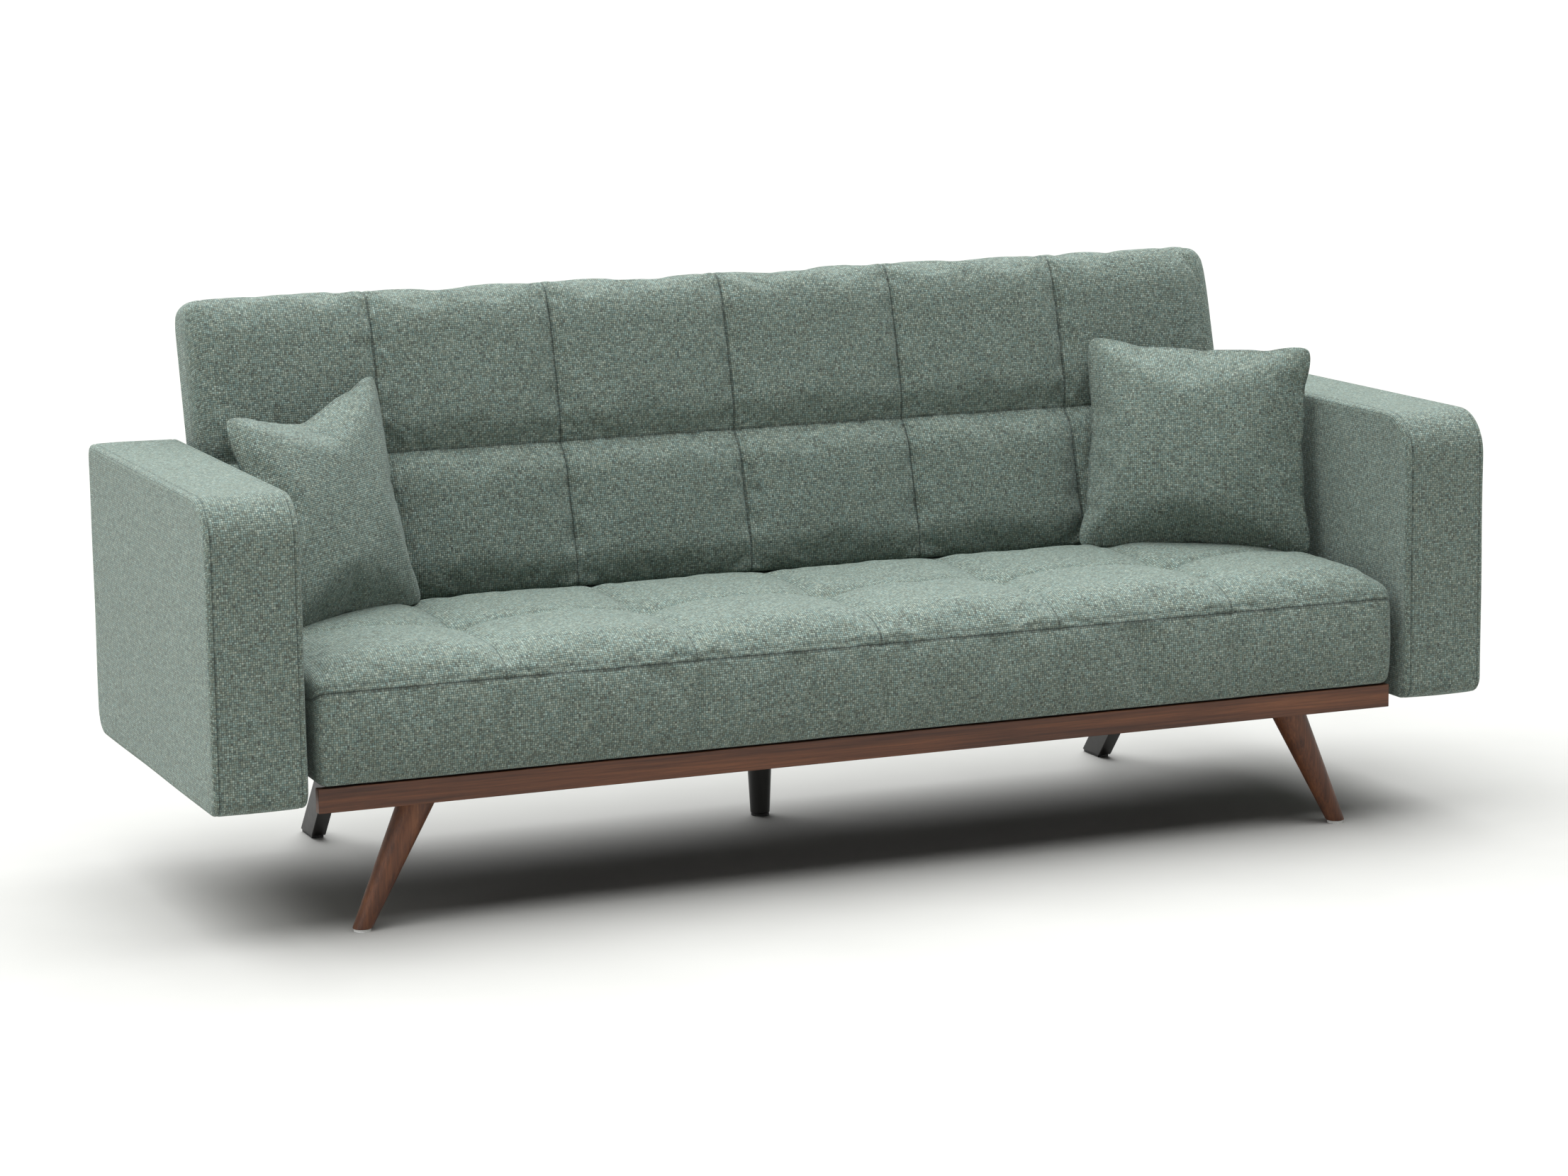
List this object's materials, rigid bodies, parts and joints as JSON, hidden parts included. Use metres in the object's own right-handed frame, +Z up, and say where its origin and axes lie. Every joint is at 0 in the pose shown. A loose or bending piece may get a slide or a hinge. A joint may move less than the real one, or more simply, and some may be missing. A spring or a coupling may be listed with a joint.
{
  "type": "futon sofa bed",
  "caption": "Upholstered sofa with channelled seat, broad flat arms, splayed legs and loose pillows; the back clicks down flat to make a bed.",
  "frame": {"origin": "middle of the footprint, on the floor", "axes": "+Z up, the front faces -Y, +X along the seat to the viewer's right"},
  "size_m": [2.12, 0.7518, 0.8849],
  "materials": {
    "basket_weave_fabric": "heathered sage green chunky basket weave polyester, matt with a slight sheen",
    "walnut_finish": "walnut, straight grain, satin",
    "black_lacquered_wood": "black satin lacquer",
    "plain_timber": "unfinished pine and plywood",
    "zinc_plated_steel": "zinc plated, pressed",
    "white_glide_plastic": "moulded white polyethylene",
    "black_pad_plastic": "moulded black polyethylene",
    "dust_cover_cloth": "black spun-bonded lining"
  },
  "bodies": {
    "base": {"arm_base_board_left": "plain_timber", "arm_base_board_right": "plain_timber", "arm_front_post_left": "plain_timber", "arm_front_post_right": "plain_timber", "arm_left": "basket_weave_fabric", "arm_rear_post_left": "plain_timber", "arm_rear_post_right": "plain_timber", "arm_right": "basket_weave_fabric", "arm_spacer_left": "black_lacquered_wood", "arm_spacer_right": "black_lacquered_wood", "bearer_centre": "black_lacquered_wood", "bearer_left": "black_lacquered_wood", "bearer_right": "black_lacquered_wood", "centre_leg": "black_lacquered_wood", "centre_leg_pad": "black_pad_plastic", "centre_leg_plate": "zinc_plated_steel", "front_glide_left": "white_glide_plastic", "front_glide_right": "white_glide_plastic", "front_leg_left": "walnut_finish", "front_leg_plate_left": "zinc_plated_steel", "front_leg_plate_right": "zinc_plated_steel", "front_leg_right": "walnut_finish", "front_rail": "walnut_finish", "hinge_leaf_spring_left": "zinc_plated_steel", "hinge_leaf_spring_right": "zinc_plated_steel", "hinge_pin_left": "zinc_plated_steel", "hinge_pin_right": "zinc_plated_steel", "hinge_seat_plate_left": "zinc_plated_steel", "hinge_seat_plate_right": "zinc_plated_steel", "rear_leg_left": "black_lacquered_wood", "rear_leg_pad_left": "black_pad_plastic", "rear_leg_pad_right": "black_pad_plastic", "rear_leg_right": "black_lacquered_wood", "seat_cross_board_left": "plain_timber", "seat_cross_board_right": "plain_timber", "seat_cushion": "basket_weave_fabric", "seat_dust_cover": "dust_cover_cloth", "seat_front_board": "plain_timber", "seat_rear_board": "plain_timber", "seat_side_board_left": "plain_timber", "seat_side_board_right": "plain_timber", "seat_slat_1": "plain_timber", "seat_slat_2": "plain_timber", "seat_slat_3": "plain_timber", "seat_slat_4": "plain_timber", "seat_slat_5": "plain_timber"},
    "back": {"back_bottom_rail": "plain_timber", "back_cushion": "basket_weave_fabric", "back_rear_cover": "basket_weave_fabric", "back_stile_left": "plain_timber", "back_stile_right": "plain_timber", "back_top_rail": "plain_timber", "hinge_back_plate_left": "zinc_plated_steel", "hinge_back_plate_right": "zinc_plated_steel", "hinge_ring_left": "zinc_plated_steel", "hinge_ring_right": "zinc_plated_steel"},
    "left_pillow": {"pillow_left": "basket_weave_fabric"},
    "right_pillow": {"pillow_right": "basket_weave_fabric"}
  },
  "joints": [
    {"name": "back_recline", "type": "hinge", "parent": "base", "child": "back", "pos_m": [0, 0.22208, 0.336], "axis": [-1, 0, 0], "range_deg": [0, 75.5]},
    {"name": "left_pillow_lift", "type": "slide", "parent": "base", "child": "left_pillow", "axis": [0, 0, 1], "range_m": [0, 0.3]},
    {"name": "right_pillow_lift", "type": "slide", "parent": "base", "child": "right_pillow", "axis": [0, 0, 1], "range_m": [0, 0.3]}
  ]
}
